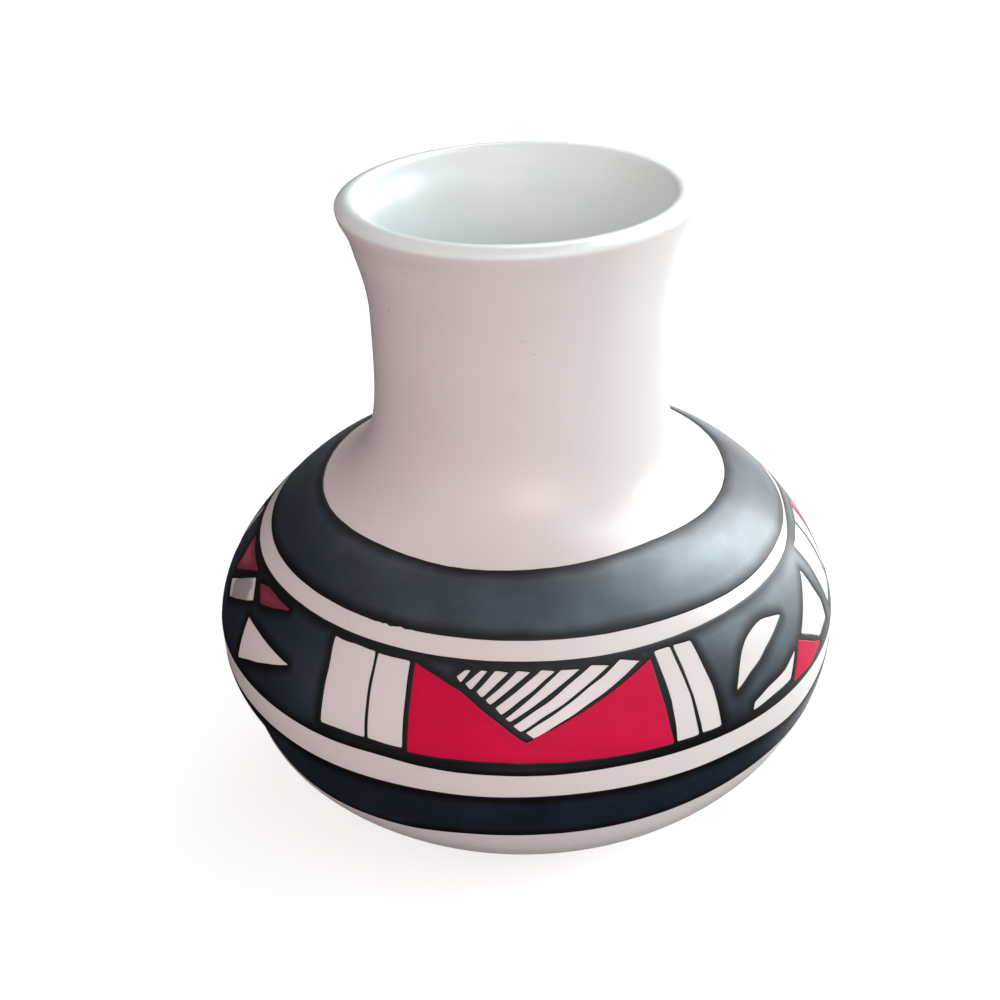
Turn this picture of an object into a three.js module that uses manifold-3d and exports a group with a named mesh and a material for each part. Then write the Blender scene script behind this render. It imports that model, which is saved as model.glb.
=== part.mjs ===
// A small painted pottery jar: a round clay body with a full belly and a narrow flaring neck.
// It is glazed inside and out, and black and red paint lies on the glaze of its shoulder and belly.
// Millimetres, +Z up. The origin is the middle of the foot, on the table.
// Angles run round the jar from its front, which faces -Y, towards +X.
import * as THREE from 'three';
import { mergeVertices, toCreasedNormals } from 'three/addons/utils/BufferGeometryUtils.js';
import Module from 'manifold-3d';

// Rise of the glazed wall from each turning point to the next, starting at the table
const bellyRise = 37.2;
const shoulderRise = 27.5;
const neckRise = 32.5;
const flareRise = 20.4;

// Radius of the glazed wall at those turning points
const footRadius = 32.5;
const bellyRadius = 60;
const shoulderRadius = 38.8;
const waistRadius = 26.8;
const rimRadius = 31.2;

// Lean of the wall away from upright, in degrees, with outwards as positive
const footLean = 56;
const shoulderLean = -69;
const rimLean = 12;

// How far each stretch of wall holds its lean at its lower and upper end, as a share of its rise
const bellyHold = { low: 0.245, high: 0.648 };
const shoulderHold = { low: 0.298, high: 0.398 };
const neckHold = { low: 0.418, high: 0.555 };
const flareHold = { low: 0.445, high: 0.282 };

// Thickness of the finished wall and of the layers on it
const wallThickness = 3.85;
const glazeThickness = 0.4;
const paintThickness = 0.3;
const layerGap = 0.05;

// Lip, floor and foot
const lipRise = 1.3;
const lipSeamAngle = 90;
const lipSeamOpening = 4;
const floorThickness = 5;
const footRecess = 1.5;
const footRingWidth = 4;
const footEdge = 0.8;
const bareFootHeight = 2;

// Painted zones, as heights stacked up and down from the widest line of the belly
const friezeLift = 1.1;
const friezeHeight = 16.9;
const upperStripe = 2.5;
const shoulderBandHeight = 7.2;
const lowerStripe = 4.7;
const baseBandHeight = 10.1;

// Places of the frieze's panels and motifs round the jar, in degrees
const panelAngles = { front: 0, right: 113, left: -126.5 };
const featherAngles = { right: 54, back: 170.5 };
const arrowAngle = -66;

// Hatching of each panel: its light bars, the black share between two of them, and their fanning out
const hatchBars = 8;
const hatchLineShare = 0.36;
const hatchFan = 0.4;

// Gap round each red field, so that it stands clear of the black beside it
const redGap = 0.15;

// Fineness of the facets
const turnSegments = 42;
const outsideSpacing = 7;
const insideSpacing = 15;
const lipSteps = 4;
const leafSteps = 4;
const cutterStep = 10;
const cutterReach = 3;
const placeTolerance = 1e-7;
const weldDistance = 1e-5;
const sliverSize = 1e-3;
const creaseAngle = THREE.MathUtils.degToRad(35);

// Outlines of one panel, each corner as degrees from its middle and share of the frieze's height
const panelWindows = [
  [[-39.2, 0.93], [-38.2, 0.68], [-37.1, 0.16], [-28.6, 0.16], [-29.8, 0.93]],
  [[-28.9, 0.93], [-27.8, 0.16], [-21.3, 0.16], [-22.3, 0.93]],
  [[23.6, 0.93], [24.8, 0.5], [24.3, 0.11], [28.6, 0.11], [28.2, 0.5], [26.9, 0.93]],
  [[27.9, 0.93], [29.1, 0.5], [29.4, 0.11], [33.2, 0.11], [33, 0.5], [31.5, 0.93]],
];
const panelRed = [[-20.9, 0.92], [-20, 0.12], [23.8, 0.12], [22.7, 0.87], [-0.3, 0.3], [-12, 0.75]];
const panelTriangle = [[-14.3, 0.93], [0.1, 0.36], [21.4, 0.93]];

// Outlines of the feather motif, given in the same way
const featherLeaf = {
  foot: [-16.2, 0.37],
  tip: [0.9, 0.7],
  back: [[-13.8, 0.8], [-7.5, 0.86]],
};
const featherWedge = [[-13.4, 0.08], [-4, 0.08], [0.9, 0.36], [-6, 0.28], [-13.2, 0.15]];
const featherKite = [[3.5, 0.42], [12.8, 0.1], [15.5, 0.12], [15.8, 0.71]];
const featherRed = [[2.6, 0.37], [-2.3, 0.05], [11.2, 0.05]];

// Outlines of the arrow motif, given in the same way
const arrowHead = [[1, 0.56], [2.4, 0.13], [18.2, 0.52], [5.7, 0.59]];
const arrowBar = [[-3.5, 0.83], [-15, 0.47], [-12, 0.36], [0.5, 0.7]];
const arrowSmallRed = [[-0.5, 0.86], [3.5, 0.75], [13, 0.91], [3, 0.92]];
const arrowLargeRed = [[-5.5, 0.91], [-21, 0.93], [-18, 0.58]];

const wasm = await Module();
wasm.setup();

const finishes = {
  clay: { color: '#d8cabb', roughness: 0.9, metalness: 0 },
  whiteGlaze: { color: '#e6e9e6', roughness: 0.15, metalness: 0 },
  creamGlaze: { color: '#e6dbd5', roughness: 0.2, metalness: 0 },
  black: { color: '#1d2127', roughness: 0.5, metalness: 0 },
  red: { color: '#c4203f', roughness: 0.55, metalness: 0 },
};

// Depth of each layer's faces under the glazed outside, with outwards as positive
const clayOutside = -glazeThickness - layerGap;
const clayInside = -wallThickness + glazeThickness + layerGap;
const liningOutside = -wallThickness + glazeThickness;
const paintInside = layerGap;
const paintOutside = layerGap + paintThickness;

function leaning(degrees) {
  const angle = THREE.MathUtils.degToRad(degrees);
  return new THREE.Vector2(Math.sin(angle), Math.cos(angle));
}

// One curve of the wall, which leaves and arrives at the given leans
function stretch(low, lowLean, high, highLean, hold) {
  const rise = high.y - low.y;
  const lowHandle = low.clone().addScaledVector(leaning(lowLean), hold.low * rise);
  const highHandle = high.clone().addScaledVector(leaning(highLean), -hold.high * rise);
  return new THREE.CubicBezierCurve(low, lowHandle, highHandle, high);
}

// The glazed outside as four curves, from the foot to the rim
function wallStretches() {
  const foot = new THREE.Vector2(footRadius, 0);
  const belly = new THREE.Vector2(bellyRadius, bellyRise);
  const shoulder = new THREE.Vector2(shoulderRadius, belly.y + shoulderRise);
  const waist = new THREE.Vector2(waistRadius, shoulder.y + neckRise);
  const rim = new THREE.Vector2(rimRadius, waist.y + flareRise);
  return [
    stretch(foot, footLean, belly, 0, bellyHold),
    stretch(belly, 0, shoulder, shoulderLean, shoulderHold),
    stretch(shoulder, shoulderLean, waist, 0, neckHold),
    stretch(waist, 0, rim, rimLean, flareHold),
  ];
}

// A place on the wall is the number of its stretch plus how far along that stretch it lies
const wall = wallStretches();
const footPlace = 0;
const bellyPlace = 1;
const shoulderPlace = 2;
const waistPlace = 3;
const rimPlace = wall.length;

function wallFrame(place) {
  const index = Math.min(Math.floor(place), wall.length - 1);
  const point = wall[index].getPoint(place - index);
  const along = wall[index].getTangent(place - index);
  const across = new THREE.Vector2(along.y, -along.x);
  return { point, along, across };
}

function wallPoint(place, depth) {
  const { point, across } = wallFrame(place);
  return point.addScaledVector(across, depth);
}

// The place where a layer of the wall reaches a height
function placeAtHeight(height, depth = 0) {
  let low = footPlace;
  let high = rimPlace;
  while (high - low > placeTolerance) {
    const middle = (low + high) / 2;
    if (wallPoint(middle, depth).y < height) {
      low = middle;
    } else {
      high = middle;
    }
  }
  return low;
}

// Places from one key place to the next, no further apart than the spacing
function placesThrough(keys, spacing) {
  const places = [keys[0]];
  for (let i = 1; i < keys.length; i += 1) {
    const length = wallPoint(keys[i - 1], 0).distanceTo(wallPoint(keys[i], 0));
    const steps = Math.max(1, Math.round(length / spacing));
    for (let step = 1; step <= steps; step += 1) {
      places.push(THREE.MathUtils.lerp(keys[i - 1], keys[i], step / steps));
    }
  }
  return places;
}

// Edges of the painted zones
const friezeFoot = bellyRise + friezeLift;
const friezeHead = friezeFoot + friezeHeight;
const shoulderBandFoot = friezeHead + upperStripe;
const shoulderBandHead = shoulderBandFoot + shoulderBandHeight;
const baseBandHead = friezeFoot - lowerStripe;
const baseBandFoot = baseBandHead - baseBandHeight;

const zonePlaces = {
  glazeFoot: placeAtHeight(bareFootHeight),
  baseBandFoot: placeAtHeight(baseBandFoot),
  baseBandHead: placeAtHeight(baseBandHead),
  friezeFoot: placeAtHeight(friezeFoot),
  friezeHead: placeAtHeight(friezeHead),
  shoulderBandFoot: placeAtHeight(shoulderBandFoot),
  shoulderBandHead: placeAtHeight(shoulderBandHead),
};

// Rows of facets shared by every layer, so that the layers lie parallel
const outsidePlaces = placesThrough([...Object.values(zonePlaces), waistPlace, rimPlace], outsideSpacing);
const floorPlace = placeAtHeight(floorThickness + layerGap + glazeThickness, -wallThickness);
const insidePlaces = placesThrough(
  [rimPlace, waistPlace, shoulderPlace, bellyPlace, floorPlace],
  insideSpacing,
);

// The lip is half an oval set square on the top of the wall
function lipPoint(degrees, depth) {
  const { point, along, across } = wallFrame(rimPlace);
  const angle = THREE.MathUtils.degToRad(degrees);
  const width = wallThickness / 2 + depth;
  const rise = lipRise + depth;
  return point
    .addScaledVector(across, width * Math.cos(angle) - wallThickness / 2)
    .addScaledVector(along, rise * Math.sin(angle));
}

function lipArc(from, to, depth) {
  const arc = [];
  for (let step = 1; step <= lipSteps; step += 1) {
    arc.push(lipPoint(THREE.MathUtils.lerp(from, to, step / lipSteps), depth));
  }
  return arc;
}

function revolved(outline) {
  return new THREE.LatheGeometry(outline, turnSegments).rotateX(Math.PI / 2);
}

// A closed ring: up one row of points and back down the other
function ring(outside, inside) {
  return revolved([...outside, ...inside.reverse(), outside[0]]);
}

function clayBody() {
  const ringOutside = footRadius - footEdge;
  const ringInside = ringOutside - footRingWidth;
  const inside = insidePlaces.map((place) => wallPoint(place, clayInside)).slice(0, -1);
  return revolved([
    new THREE.Vector2(0, footRecess),
    new THREE.Vector2(ringInside - footEdge, footRecess),
    new THREE.Vector2(ringInside, 0),
    new THREE.Vector2(ringOutside, 0),
    ...[footPlace, ...outsidePlaces].map((place) => wallPoint(place, clayOutside)),
    ...lipArc(0, 180, clayOutside).slice(0, -1),
    ...inside,
    wallPoint(placeAtHeight(floorThickness, clayInside), clayInside),
    new THREE.Vector2(0, floorThickness),
  ]);
}

function outerGlaze() {
  const seam = lipSeamAngle - lipSeamOpening / 2;
  const face = (depth) => [
    ...outsidePlaces.map((place) => wallPoint(place, depth)),
    ...lipArc(0, seam, depth),
  ];
  return ring(face(0), face(-glazeThickness));
}

function innerGlaze() {
  const seam = lipSeamAngle + lipSeamOpening / 2;
  const face = (wallDepth, lipDepth, floor) => [
    lipPoint(seam, lipDepth),
    ...lipArc(seam, 180, lipDepth).slice(0, -1),
    ...insidePlaces.slice(0, -1).map((place) => wallPoint(place, wallDepth)),
    wallPoint(placeAtHeight(floor, wallDepth), wallDepth),
    new THREE.Vector2(0, floor),
  ];
  const floor = floorThickness + layerGap;
  const under = face(liningOutside, -glazeThickness, floor);
  const over = face(-wallThickness, 0, floor + glazeThickness);
  return revolved([...under.reverse(), ...over]);
}

// A band of paint on the glaze between two places
function paintBand(low, high) {
  const places = outsidePlaces.filter((place) => place >= low && place <= high);
  const face = (depth) => places.map((place) => wallPoint(place, depth));
  return ring(face(paintOutside), face(paintInside));
}

// A mesh with its shared corners merged, which needs every attribute but the position gone
function welded(geometry, distance) {
  const bare = new THREE.BufferGeometry();
  bare.setAttribute('position', geometry.getAttribute('position'));
  bare.setIndex(geometry.getIndex());
  return mergeVertices(bare, distance);
}

// Merges the corners of slivers that a cut leaves, and drops the faces that this folds shut
function withoutSlivers(geometry) {
  const clean = welded(geometry, sliverSize);
  const corners = Array.from(clean.getIndex().array);
  const faces = new Map();
  for (let i = 0; i < corners.length; i += 3) {
    const face = corners.slice(i, i + 3);
    const key = face.toSorted((a, b) => a - b).join();
    if (faces.has(key)) {
      faces.delete(key);
    } else if (new Set(face).size === face.length) {
      faces.set(key, face);
    }
  }
  clean.setIndex([...faces.values()].flat());
  return clean;
}

// A solid that can be cut, and back to a mesh
function toSolid(geometry) {
  const mesh = welded(geometry, weldDistance);
  return new wasm.Manifold(new wasm.Mesh({
    numProp: 3,
    vertProperties: mesh.getAttribute('position').array,
    triVerts: Uint32Array.from(mesh.getIndex().array),
  }));
}

function toGeometry(solid) {
  const mesh = solid.getMesh();
  const geometry = new THREE.BufferGeometry();
  geometry.setAttribute('position', new THREE.BufferAttribute(mesh.vertProperties, 3));
  geometry.setIndex(new THREE.BufferAttribute(mesh.triVerts, 1));
  return geometry;
}

// Frieze outlines are laid out flat in millimetres, on a sheet as long as the belly is round
const sheetScale = new THREE.Vector2(THREE.MathUtils.degToRad(bellyRadius), friezeHeight);

function onSheet(corner) {
  return new THREE.Vector2(...corner).multiply(sheetScale);
}

// Moves each edge of an outline inwards, where the outline runs against the clock
function inset(corners, distance) {
  return corners.map((corner, i) => {
    const before = corners.at(i - 1);
    const after = corners[(i + 1) % corners.length];
    const arriving = corner.clone().sub(before).normalize();
    const leaving = after.clone().sub(corner).normalize();
    const normals = new THREE.Vector2(-arriving.y - leaving.y, arriving.x + leaving.x);
    return corner.clone().addScaledVector(normals, distance / (1 + arriving.dot(leaving)));
  });
}

// Splits the long edges of an outline, so that it can be bent round the jar
function divided(corners) {
  return corners.flatMap((corner, i) => {
    const next = corners[(i + 1) % corners.length];
    const steps = Math.ceil(Math.abs(next.x - corner.x) / cutterStep) || 1;
    return Array.from({ length: steps }, (_, step) => corner.clone().lerp(next, step / steps));
  });
}

// Radii of a cutter's four levels, close to the wall where it cuts and far off at its ends
const cutterLevels = 4;

function cutterRadii(height) {
  const radius = wallPoint(placeAtHeight(height), 0).x;
  return [radius / 2, radius - cutterReach, radius + cutterReach, bellyRadius * 2];
}

// A cutter: an outline from the sheet, extruded through the wall and bent round the jar
function cutter(corners, turn) {
  const steps = cutterLevels - 1;
  const shape = new THREE.Shape(divided(corners));
  const geometry = new THREE.ExtrudeGeometry(shape, { depth: steps, steps, bevelEnabled: false });
  const position = geometry.getAttribute('position');
  for (let i = 0; i < position.count; i += 1) {
    const angle = position.getX(i) / bellyRadius + THREE.MathUtils.degToRad(turn);
    const height = friezeFoot + position.getY(i);
    const radius = cutterRadii(height)[Math.round(position.getZ(i))];
    position.setXYZ(i, radius * Math.sin(angle), -radius * Math.cos(angle), height);
  }
  return toSolid(geometry);
}

// The leaf has one straight side and one curved back
function leafOutline() {
  const [foot, tip, low, high] = [
    featherLeaf.foot,
    featherLeaf.tip,
    ...featherLeaf.back,
  ].map(onSheet);
  return [foot, ...new THREE.CubicBezierCurve(tip, high, low, foot).getPoints(leafSteps).slice(0, -1)];
}

// The light bars of the hatching fan out from the triangle's left side to its top
function hatchBar(index) {
  const [left, apex, right] = panelTriangle.map(onSheet);
  const starts = (index + hatchLineShare / 2) / hatchBars;
  const ends = (index + 1 - hatchLineShare / 2) / hatchBars;
  const onSide = (share) => left.clone().lerp(apex, share);
  const onTop = (share) => left.clone().lerp(right, share * (1 - hatchFan * (1 - share)));
  return [onSide(starts), onSide(ends), onTop(ends), onTop(starts)];
}

function hatching(turn) {
  const bars = [];
  for (let index = 0; index < hatchBars; index += 1) {
    bars.push(cutter(hatchBar(index), turn));
  }
  return bars;
}

// Every opening of the black frieze, through which glaze or red paint shows
function friezeOpenings() {
  const openings = [];
  for (const turn of Object.values(panelAngles)) {
    const outlines = [...panelWindows, panelRed].map((outline) => outline.map(onSheet));
    openings.push(...outlines.map((outline) => cutter(outline, turn)), ...hatching(turn));
  }
  for (const turn of Object.values(featherAngles)) {
    const outlines = [featherWedge, featherKite, featherRed].map((outline) => outline.map(onSheet));
    openings.push(...[...outlines, leafOutline()].map((outline) => cutter(outline, turn)));
  }
  for (const outline of [arrowHead, arrowBar, arrowSmallRed, arrowLargeRed]) {
    openings.push(cutter(outline.map(onSheet), arrowAngle));
  }
  return openings;
}

const friezeCoat = toSolid(paintBand(zonePlaces.friezeFoot, zonePlaces.friezeHead));

function friezeGround() {
  return toGeometry(friezeOpenings().reduce((coat, opening) => coat.subtract(opening), friezeCoat));
}

// A red field fills its opening in the black frieze, less the gap
function redField(outline, turn) {
  return toGeometry(friezeCoat.intersect(cutter(inset(outline.map(onSheet), redGap), turn)));
}

const jar = new THREE.Group();

function add(name, geometry, finish) {
  const surface = toCreasedNormals(withoutSlivers(geometry), creaseAngle);
  const mesh = new THREE.Mesh(surface, new THREE.MeshStandardMaterial(finishes[finish]));
  mesh.name = name;
  jar.add(mesh);
}

add('clay_body', clayBody(), 'clay');
add('inner_glaze', innerGlaze(), 'whiteGlaze');
add('outer_glaze', outerGlaze(), 'creamGlaze');
add('shoulder_band', paintBand(zonePlaces.shoulderBandFoot, zonePlaces.shoulderBandHead), 'black');
add('frieze_ground', friezeGround(), 'black');
add('base_band', paintBand(zonePlaces.baseBandFoot, zonePlaces.baseBandHead), 'black');
for (const [side, turn] of Object.entries(panelAngles)) {
  add(`panel_red_${side}`, redField(panelRed, turn), 'red');
}
for (const [side, turn] of Object.entries(featherAngles)) {
  add(`feather_red_${side}`, redField(featherRed, turn), 'red');
}
add('arrow_red_small', redField(arrowSmallRed, arrowAngle), 'red');
add('arrow_red_large', redField(arrowLargeRed, arrowAngle), 'red');

export default jar;
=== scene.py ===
import math
from collections import namedtuple

import bpy
import numpy as np
from mathutils import Matrix, Vector
from mathutils.geometry import delaunay_2d_cdt
from mathutils.kdtree import KDTree


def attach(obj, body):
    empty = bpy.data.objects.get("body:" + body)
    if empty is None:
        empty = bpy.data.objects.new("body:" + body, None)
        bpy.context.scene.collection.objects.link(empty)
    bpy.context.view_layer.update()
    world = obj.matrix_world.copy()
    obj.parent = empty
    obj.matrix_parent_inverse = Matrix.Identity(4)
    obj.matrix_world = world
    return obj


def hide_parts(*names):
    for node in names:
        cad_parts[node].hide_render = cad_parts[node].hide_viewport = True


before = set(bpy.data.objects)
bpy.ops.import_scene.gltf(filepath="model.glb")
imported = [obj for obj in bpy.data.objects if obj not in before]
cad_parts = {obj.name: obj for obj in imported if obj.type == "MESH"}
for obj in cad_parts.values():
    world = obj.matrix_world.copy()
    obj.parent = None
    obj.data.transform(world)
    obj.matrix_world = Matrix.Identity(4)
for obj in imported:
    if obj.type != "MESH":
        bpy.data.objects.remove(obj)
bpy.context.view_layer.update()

MM = 0.001

# Rise of the glazed wall from each turning point to the next, starting at the table
BELLY_RISE = 37.2 * MM
SHOULDER_RISE = 27.5 * MM
NECK_RISE = 32.5 * MM
FLARE_RISE = 20.4 * MM

# Radius of the glazed wall at those turning points
FOOT_RADIUS = 32.5 * MM
BELLY_RADIUS = 60 * MM
SHOULDER_RADIUS = 38.8 * MM
WAIST_RADIUS = 26.8 * MM
RIM_RADIUS = 31.2 * MM

# Lean of the wall away from upright, in degrees, and how far it holds that lean, as a share of each rise
FOOT_LEAN = 56
SHOULDER_LEAN = -69
RIM_LEAN = 12
BELLY_HOLD = (0.245, 0.648)
SHOULDER_HOLD = (0.298, 0.398)
NECK_HOLD = (0.418, 0.555)
FLARE_HOLD = (0.445, 0.282)

# Thickness of the wall and of the layers on it
WALL_THICKNESS = 3.85 * MM
GLAZE_THICKNESS = 0.4 * MM
BLACK_THICKNESS = 0.13 * MM
RED_THICKNESS = 0.1 * MM

# A coat of paint is rooted in the glaze, has a low step at its edge and rounds off over a short way
PAINT_ROOT = 0.05 * MM
PAINT_EDGE = 0.02 * MM
PAINT_SHOULDER = 0.35 * MM

# Lip, floor and foot
LIP_RISE = 1.3 * MM
FLOOR_THICKNESS = 5 * MM
FOOT_RECESS = 1.5 * MM
FOOT_RING_WIDTH = 4 * MM
FOOT_EDGE = 0.8 * MM
BARE_FOOT_HEIGHT = 2 * MM

# Where the glazes end: a roll above the foot, and near the top of the lip, in degrees over it from outside
GLAZE_ROLL = 0.5 * MM
OUTER_GLAZE_END = 92
INNER_GLAZE_END = 91

# Corners between wall and floor inside, as how far up and how far in: the clay, the glaze, and its back
CLAY_CORNER = (1.0 * MM, 1.5 * MM)
GLAZE_CORNER = (2.5 * MM, 1.2 * MM)
GLAZE_CORNER_BACK = (2.0 * MM, 1.0 * MM)
GLAZE_FILLET = 3 * MM

# Painted zones, as heights stacked up and down from the widest line of the belly
FRIEZE_FOOT = BELLY_RISE + 1.1 * MM
FRIEZE_HEIGHT = 16.9 * MM
FRIEZE_HEAD = FRIEZE_FOOT + FRIEZE_HEIGHT
SHOULDER_BAND_FOOT = FRIEZE_HEAD + 2.5 * MM
SHOULDER_BAND_HEAD = SHOULDER_BAND_FOOT + 7.2 * MM
BASE_BAND_HEAD = FRIEZE_FOOT - 4.7 * MM
BASE_BAND_FOOT = BASE_BAND_HEAD - 10.1 * MM

# Painted edges of the bands, lower and upper: height, seed of the hand's wander, where the hand strayed,
# as degrees round the jar, how wide, and millimetres up, and how ragged the edge is at its ragged spot
BandEdge = namedtuple("BandEdge", "height seed strays ragged", defaults=(0.0,))
SHOULDER_BAND = (
    BandEdge(SHOULDER_BAND_FOOT, 11, [(14, 16, -0.22), (50, 18, -0.72), (82, 18, -0.9)], 0.12 * MM),
    BandEdge(SHOULDER_BAND_HEAD, 31, [(-45, 16, 0.15), (-20, 12, -0.12), (34, 26, 0.32)]),
)
FRIEZE = (
    BandEdge(
        FRIEZE_FOOT, 61, [(-58, 24, 0.38), (-25, 8, 0.5), (2, 8, -0.15), (14, 6, 0.08), (46, 18, -0.55)]
    ),
    BandEdge(FRIEZE_HEAD, 71, [(-50, 26, 0.16), (15, 18, -0.23), (88, 14, 1.2)]),
)
BASE_BAND = (
    BandEdge(BASE_BAND_FOOT, 41, [(-42, 24, -3), (-22, 7, -0.4), (52, 22, 2.1)]),
    BandEdge(BASE_BAND_HEAD, 51, [(-38, 14, -0.4), (4, 9, 0.13), (30, 9, -0.25), (54, 13, -1.9)]),
)
# The ragged spot: degrees round the jar, and how wide
RAGGED_SPOT = (-29, 5)

# Places of the frieze's panels and motifs round the jar, in degrees
PANEL_ANGLES = {"front": 0, "right": 113, "left": -126.5}
FEATHER_ANGLES = {"right": 54, "back": 170.5}
ARROW_ANGLE = -66

# Outlines of one panel, each corner as degrees from its middle and share of the frieze's height.
# A third number bows the edge that leaves the corner, as a share of that edge's length.
PANEL_RED = [
    (-20.9, 0.92), (-20.1, 0.15), (1.2, 0.14), (23.9, 0.11), (22.8, 0.88), (-0.6, 0.325), (-12, 0.75),
]
PANEL_SHAPES = [
    [(-39, 0.93), (-38.1, 0.68), (-37.1, 0.165), (-28.1, 0.18), (-28.8, 0.55), (-29.4, 0.93)],
    [(-28.8, 0.925), (-28.2, 0.55), (-27.5, 0.18), (-21.1, 0.17), (-22.1, 0.92)],
    [(24, 0.925), (24.9, 0.5), (24.5, 0.105), (28.7, 0.105), (28.5, 0.5), (27.3, 0.925)],
    [(28.1, 0.93), (29.1, 0.5), (29.4, 0.105), (33.3, 0.1), (33.2, 0.5), (31.9, 0.92)],
    PANEL_RED,
]
PANEL_BARS = [
    [(-13, 0.86), (-12, 0.81), (-10.3, 0.92), (-11.5, 0.92)],
    [(-11.3, 0.81), (-10.1, 0.76), (-7.2, 0.92), (-8.5, 0.925)],
    [(-9.2, 0.755), (-8.1, 0.705), (-3.3, 0.915), (-5.9, 0.925)],
    [(-7.5, 0.69), (-6.6, 0.65), (0.6, 0.915), (-1.9, 0.925)],
    [(-5.8, 0.63), (-4.7, 0.57), (5, 0.91), (2.4, 0.93)],
    [(-4.1, 0.54), (-3.2, 0.51), (9.6, 0.91), (6, 0.92)],
    [(-2.8, 0.48), (-1.4, 0.425), (15.1, 0.905), (11.6, 0.93)],
    [(-0.8, 0.42), (0.6, 0.36), (21, 0.89), (17.2, 0.935)],
]

# Outlines of the feather motif
FEATHER_LEAF = [(-16, 0.36, 0.0), (1, 0.7, 0.24)]
FEATHER_WEDGE = [(-13.4, 0.08), (-2.6, 0.11), (0.8, 0.33), (-3.5, 0.245), (-9, 0.205), (-12.8, 0.155)]
FEATHER_KITE = [(4.6, 0.4), (11.2, 0.16), (17.2, 0.17), (17.8, 0.35), (16.9, 0.51), (15.6, 0.78)]
FEATHER_RED = [(2.9, 0.375), (-1.8, 0.05), (5.3, 0.03), (10.8, 0.1)]
FEATHER_SHAPES = [FEATHER_LEAF, FEATHER_WEDGE, FEATHER_KITE, FEATHER_RED]

# Outlines of the arrow motif
ARROW_HEAD = [(1.6, 0.575), (2.5, 0.14), (18.6, 0.505)]
ARROW_BAR = [(-3.6, 0.85), (-15.2, 0.5), (-11.4, 0.4), (0.4, 0.71)]
ARROW_SMALL_RED = [(-0.5, 0.87), (3.5, 0.755), (13, 0.91), (3, 0.92)]
ARROW_LARGE_RED = [(-4.6, 0.9), (-18, 0.94), (-15.8, 0.61)]
ARROW_SHAPES = [ARROW_HEAD, ARROW_BAR, ARROW_SMALL_RED, ARROW_LARGE_RED]

# How the potter's hands left the wall: degrees, height, spread both ways, and how far out.
# Nearer to the axis than the still radius, all unevenness fades out.
WALL_DENTS = [
    (-62, 25 * MM, 22, 4.6 * MM, -1.7 * MM),
    (-102, 61 * MM, 26, 8 * MM, -0.7 * MM),
    (86, 43 * MM, 18, 7 * MM, -0.4 * MM),
    (-92, 45 * MM, 16, 6 * MM, 0.2 * MM),
]
WALL_WOBBLE = 0.06 * MM
WOBBLE_WAVES = 5
WOBBLE_SEED = 21
STILL_RADIUS = 12 * MM

# The lip swells out over a short rise that starts below the rim, and above a shallow groove
LIP_BEAD = 0.4 * MM
LIP_BEAD_DROP = 3.2 * MM
LIP_BEAD_RISE = 2.2 * MM
LIP_GROOVE = 0.22 * MM
LIP_GROOVE_DROP = 5 * MM
LIP_GROOVE_REACH = 2 * MM

# How the brush leaves its edges, with the length of a wave on the outline of a motif
BRUSH_CORNER = 0.15 * MM
BRUSH_WANDER = 0.05 * MM
BRUSH_WAVE = 6 * MM
RED_UNDERLAP = 0.12 * MM
BAR_SHRINK = 0.07 * MM

# Waves once round the jar on the edge of a band, and how many times lower its fine ones are
SLOW_WAVES = 12
FINE_WAVES = 70
FINE_LOWERING = 5
RAGGED_WAVES = 240

# Seeds of the motifs' outlines: their place in tenths of a degree, and a longer step from each to the next
TENTHS_IN_TURN = 3600
SEED_STEP = 4000

# The painted wall is laid out as a flat sheet that starts and ends at a seam. An opening that crosses the
# seam doesn't come out whole: the third window of the left panel is one.
SEAM_ANGLE = -101.5
SHEET_START = math.radians(SEAM_ANGLE) * BELLY_RADIUS
SHEET_WIDTH = 2 * math.pi * BELLY_RADIUS

# Fineness of the meshes
TRACE_STEP = 0.08 * MM
EDGE_STEP = 0.4 * MM
EDGE_PARTS = 4
LEAST_POINTS = 8
INSET_ROWS = (0.13 * MM, 0.34 * MM)
INSET_CLEARANCE = 0.85
FILL_STEP = 0.95 * MM
FILL_CLEARANCE = 0.6
POINT_GAP = 0.8 * INSET_ROWS[0]
SEARCH_CELL = 1.5 * MM
WALL_STEP = 1.2 * MM
LIP_STEPS = 18
ROLL_STEPS = 6
FILLET_STEPS = 5
GLAZE_FILLET_STEPS = 8
TURN_SEGMENTS = 240
CURVE_SAMPLES = 400
CREASE_ANGLE = math.radians(40)
TINY = 1e-9
MERGE_GRID = 1e-7

# Glazes: the pale and the warm colour of their clouds, their specks, gloss, and colour on the lip
Glaze = namedtuple("Glaze", "pale warm speck gloss lip", defaults=(None,))
CREAM_GLAZE = Glaze((0.79, 0.675, 0.66), (0.75, 0.63, 0.615), (0.33, 0.22, 0.17), 0.5, (0.86, 0.85, 0.835))
WHITE_GLAZE = Glaze((0.92, 0.93, 0.915), (0.89, 0.9, 0.885), (0.30, 0.28, 0.24), 0.3)
LIP_TINT_DROP = 0.2 * MM
LIP_TINT_FADE = 0.8 * MM
LIP_TINT_RAGGED = 0.4 * MM

# A smoky wash over one pale bar of the arrow motif: degrees, share of the frieze's height, reach
SMOKE = (-73.5, 0.62, 5.5 * MM)
SMOKE_COLOUR = (0.3, 0.25, 0.255)
SMOKE_RAGGED = 0.6

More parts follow.
